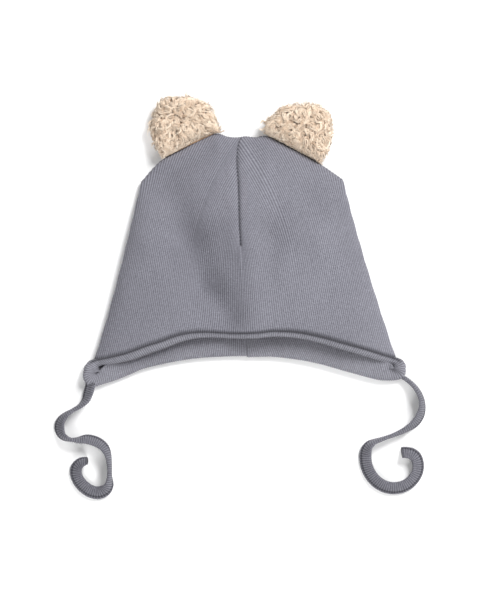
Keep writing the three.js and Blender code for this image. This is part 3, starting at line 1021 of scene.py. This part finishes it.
def strand_height(paths, lift, outline):
    """Each strand arches up from the skin, and hangs low where it passes the rim."""
    t = np.linspace(0, 1, STRAND_STEPS + 1)[None]
    near_seam = smooth(distance_to(paths, whole_top) / 4)
    arch = np.sin(np.pi * np.minimum(t * 1.1, 1)) ** 0.7
    height = ear_height(paths, outline) - 1.0 + lift * arch * mix(0.45, 1, near_seam)
    hanging = np.minimum(height, EAR_RISE * 0.5 + lift * 0.8)
    return np.maximum(np.where(inside(paths, outline), height, hanging), 0.7)


def make_pile(name, outline, dice):
    roots, flow = place_clumps(outline, dice)
    paths, lift, tint = lay_strands(roots, flow, dice)
    kept, trimmed = trim_strands(paths, outline, dice)
    strands = np.dstack([trimmed, strand_height(trimmed, lift[kept], outline)])
    return strand_mesh(name + "_pile", strands, np.clip(tint[kept], 0, 1), dice)


def strand_mesh(name, strands, tints, dice):
    """Every strand as a three-sided tapering tube, all in one mesh."""
    many, rings = strands.shape[:2]
    t = np.linspace(0, 1, rings)[None]
    radius = dice.uniform(*STRAND_RADIUS, (many, 1))
    radius = radius * (0.6 + 0.4 * np.sin(np.pi * np.minimum(t * 1.2, 1))) * (1 - 0.62 * t**3)
    ahead = np.gradient(strands, axis=1)
    ahead /= np.maximum(np.linalg.norm(ahead, axis=2, keepdims=True), 1e-9)
    aside = np.cross(ahead, [0.0, 0.0, 1.0])
    aside /= np.maximum(np.linalg.norm(aside, axis=2, keepdims=True), 1e-9)
    above = np.cross(aside, ahead)
    angles = 2 * np.pi * np.arange(3) / 3 + np.pi / 2
    around = [np.cos(angle) * aside + np.sin(angle) * above for angle in angles]
    points = np.stack([strands + radius[..., None] * way for way in around], axis=2)
    numbers = np.arange(points.size // 3).reshape(many, rings, 3)
    a, b = numbers[:, :-1], np.roll(numbers, -1, axis=2)[:, :-1]
    c, d = np.roll(numbers, -1, axis=2)[:, 1:], numbers[:, 1:]
    faces = np.stack([a, b, c, d], axis=-1).reshape(-1, 4).tolist()
    faces += numbers[:, 0].tolist() + numbers[:, -1, ::-1].tolist()
    points = points.reshape(-1, 3)
    points[:, 2] = np.maximum(points[:, 2], 0.0)
    chart = np.stack(np.broadcast_arrays(tints[:, None, None], t[..., None] * np.ones((1, 1, 3))), axis=-1)
    return new_piece(name, points, faces, {"tone": chart.reshape(-1, 2)})


# ---------------------------------------------------------------------------
# Finishes
# ---------------------------------------------------------------------------


class Wire:
    """A socket's value in a finish, with which sums are written as in Python."""

    def __init__(self, finish, socket):
        self.finish = finish
        self.socket = socket

    def sum(self, operation, first, second):
        return self.finish.node("ShaderNodeMath", {"operation": operation}, {0: first, 1: second})

    def __add__(self, other):
        return self.sum("ADD", self, other)

    def __sub__(self, other):
        return self.sum("SUBTRACT", self, other)

    def __mul__(self, other):
        return self.sum("MULTIPLY", self, other)

    def __radd__(self, other):
        return self.sum("ADD", other, self)

    def __rsub__(self, other):
        return self.sum("SUBTRACT", other, self)

    def __rmul__(self, other):
        return self.sum("MULTIPLY", other, self)


class Finish:
    """A material whose nodes are added by one method."""

    def __init__(self, name):
        self.material = bpy.data.materials.new(name)
        self.material.use_nodes = True
        self.tree = self.material.node_tree
        self.surface = self.tree.nodes["Principled BSDF"]

    def node(self, kind, settings=None, inputs=None, output=0):
        made = self.tree.nodes.new(kind)
        for key, value in (settings or {}).items():
            setattr(made, key, value)
        self.fill(made, inputs or {})
        return Wire(self, made.outputs[output])

    def fill(self, made, inputs):
        for key, value in inputs.items():
            if isinstance(value, Wire):
                self.tree.links.new(value.socket, made.inputs[key])
            else:
                made.inputs[key].default_value = value

    def shade(self, **inputs):
        self.fill(self.surface, {key.replace("_", " "): value for key, value in inputs.items()})

    def blend(self, share, low, high):
        """A colour between two, a Mix node's."""
        return self.node(
            "ShaderNodeMix",
            {"data_type": "RGBA", "blend_type": "MIX"},
            {0: share, 6: low, 7: high},
            2,
        )

    def chart(self, name):
        """The two numbers of a UV map."""
        pair = self.node("ShaderNodeUVMap", {"uv_map": name})
        return tuple(self.node("ShaderNodeSeparateXYZ", {}, {0: pair}, side) for side in (0, 1))

    def wave(self, operation, turns):
        """The sine or cosine of a number of whole turns."""
        return self.node("ShaderNodeMath", {"operation": operation}, {0: turns * (2 * math.pi)})

    def speckle(self, scale, detail=2.0, roughness=0.5):
        """Chance numbers about one half, over the piece's own coordinates."""
        place = self.node("ShaderNodeTexCoord", {}, {}, "Object")
        return self.node(
            "ShaderNodeTexNoise",
            {},
            {"Vector": place, "Scale": scale, "Detail": detail, "Roughness": roughness},
        )


def screen_colour(channels):
    """A colour given as it looks on a screen, 0 to 255, as the linear one that shaders take."""
    return (*(((c / 255 + 0.055) / 1.055) ** 2.4 for c in channels), 1.0)


def jersey(name, ridge_light_valley_shade):
    """Rib jersey in small V stitches of mottled yarn, with painted light on the ridges and painted shade in
    the valleys.
    """
    painted_ridge_light, painted_valley_shade = (screen_colour(colour) for colour in ridge_light_valley_shade)
    cloth = Finish(name)
    rib, along = cloth.chart("ribs")
    dark, _ = cloth.chart("shade")
    # The ribs' tops are painted lighter and their valleys painted darker, as painted light and shade over
    # the real rib relief.
    top = 0.5 + 0.5 * cloth.wave("COSINE", rib)
    # The yarn is mottled, and its flecks show as short streaks across the ribs.
    place = cloth.node("ShaderNodeCombineXYZ", {}, {0: rib * 0.55, 1: along * 0.95})
    flecks = cloth.node(
        "ShaderNodeTexNoise", {}, {"Vector": place, "Scale": 1.0, "Detail": 3.0, "Roughness": 0.7}
    )
    grain = cloth.speckle(1500.0, 2.0, 0.6)
    patches = cloth.speckle(30.0)
    share = 0.62 * top + 0.9 * (flecks - 0.5) + 0.5 * (grain - 0.5) + 0.35 * (patches - 0.5) + 0.16
    colour = cloth.blend(share, painted_valley_shade, painted_ridge_light)
    # The seams' grooves, the roll's underside and the ties' stitched grooves take painted shade here,
    # towards the seam colour.
    colour = cloth.blend(0.8 * dark, colour, screen_colour(SEAM_SHADE))
    # Each stitch is a V, so its two arms climb from the middle of the rib.
    side = cloth.node("ShaderNodeMath", {"operation": "PINGPONG"}, {0: rib, 1: 0.5})
    stitch = cloth.wave("SINE", along * (1 / STITCH_LENGTH) + 1.2 * side)
    height = stitch * top * 0.5 + 0.6 * grain + 0.5 * flecks
    normal = cloth.node("ShaderNodeBump", {}, {"Strength": 0.5, "Distance": 0.00022, "Height": height})
    cloth.shade(Base_Color=colour, Normal=normal, Roughness=0.92)
    cloth.shade(Specular_IOR_Level=0.2, Sheen_Weight=0.08, Sheen_Roughness=0.5)
    return cloth.material


def plush(name, colours):
    """Pile with painted shade towards the roots, and a chance tint for each strand."""
    tip, root = (screen_colour(colour) for colour in colours)
    pile = Finish(name)
    tint, along = pile.chart("tone")
    # The strands darken towards their roots as painted shade deep in the pile, and each strand has a chance
    # tint.
    share = 0.6 * along + 0.35 * tint + 0.3 * (pile.speckle(900.0) - 0.5) + 0.12
    pile.shade(Base_Color=pile.blend(share, root, tip), Roughness=0.9)
    pile.shade(Specular_IOR_Level=0.2, Sheen_Weight=0.25, Sheen_Roughness=0.5)
    return pile.material


# ---------------------------------------------------------------------------
# The camera, the lights and the floor
# ---------------------------------------------------------------------------


def make_camera():
    data = bpy.data.cameras.new("camera")
    data.sensor_width = SENSOR
    data.lens = SENSOR * CAMERA_HEIGHT / VIEW_HEIGHT
    camera = bpy.data.objects.new("camera", data)
    camera.location = Vector((*VIEW_MIDDLE, CAMERA_HEIGHT)) * MM
    bpy.context.scene.collection.objects.link(camera)
    bpy.context.scene.camera = camera


def make_light(name, place, size, power):
    """A soft round light that shines at the hat's middle."""
    data = bpy.data.lights.new(name, "AREA")
    data.shape = "DISK"
    data.size = size
    data.energy = power
    light = bpy.data.objects.new(name, data)
    light.location = place
    light.rotation_euler = (-Vector(place)).to_track_quat("-Z", "Y").to_euler()
    bpy.context.scene.collection.objects.link(light)


def make_studio():
    world = bpy.data.worlds.new("studio")
    world.use_nodes = True
    world.node_tree.nodes["Background"].inputs["Color"].default_value = (1.0, 1.0, 1.0, 1.0)
    world.node_tree.nodes["Background"].inputs["Strength"].default_value = SKY
    bpy.context.scene.world = world
    for row in LIGHTS:
        make_light(*row)
    bpy.ops.mesh.primitive_plane_add(size=8.0, location=(0.0, 0.0, -0.0002))
    floor = bpy.context.object
    floor.name = "floor"
    paper = Finish("floor_paper")
    paper.shade(Base_Color=(0.93, 0.93, 0.93, 1.0), Roughness=0.9)
    floor.data.materials.append(paper.material)
    bpy.context.scene.view_settings.view_transform = "Standard"


# ---------------------------------------------------------------------------
# Assembly
# ---------------------------------------------------------------------------


def finish_piece(piece, material, slot, *nodes):
    piece.data.materials.append(material)
    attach(piece, "root")
    if nodes:
        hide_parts(*nodes)


make_camera()
make_studio()

crown_jersey = jersey("rib_jersey", CROWN_RIDGE_LIGHT_VALLEY_SHADE)
finish_piece(make_crown(), crown_jersey, "rib_jersey", "crown")

binding_jersey = jersey("rib_binding", BINDING_RIDGE_LIGHT_VALLEY_SHADE)
finish_piece(make_band(), binding_jersey, "rib_binding", "brim_band")

tie_jersey = jersey("rib_tie", TIE_RIDGE_LIGHT_VALLEY_SHADE)
for tie_name, tie_length in TIE_LENGTHS.items():
    tie, tie_path = make_tie(tie_name)
    finish_piece(tie, tie_jersey, "rib_binding", tie_name)
    tie_path[:: TIE_STEPS_A_RIB // 2].tolist() + [tie_path[-1].tolist()]

teddy_plush = plush("teddy_plush", TEDDY_PILE_AND_ROOT_SHADE)
for number, (ear_name, ear_rows) in enumerate(EARS.items()):
    ear_outline = curve_through(ear_rows, 60)
    ear_outline = np.vstack([ear_outline, ear_outline[:1]])
    skin = make_skin(ear_name, ear_outline)
    pile = make_pile(ear_name, ear_outline, np.random.default_rng(FIRST_SEED + number))
    finish_piece(skin, teddy_plush, "teddy_plush", ear_name)
    finish_piece(pile, teddy_plush, "teddy_plush")
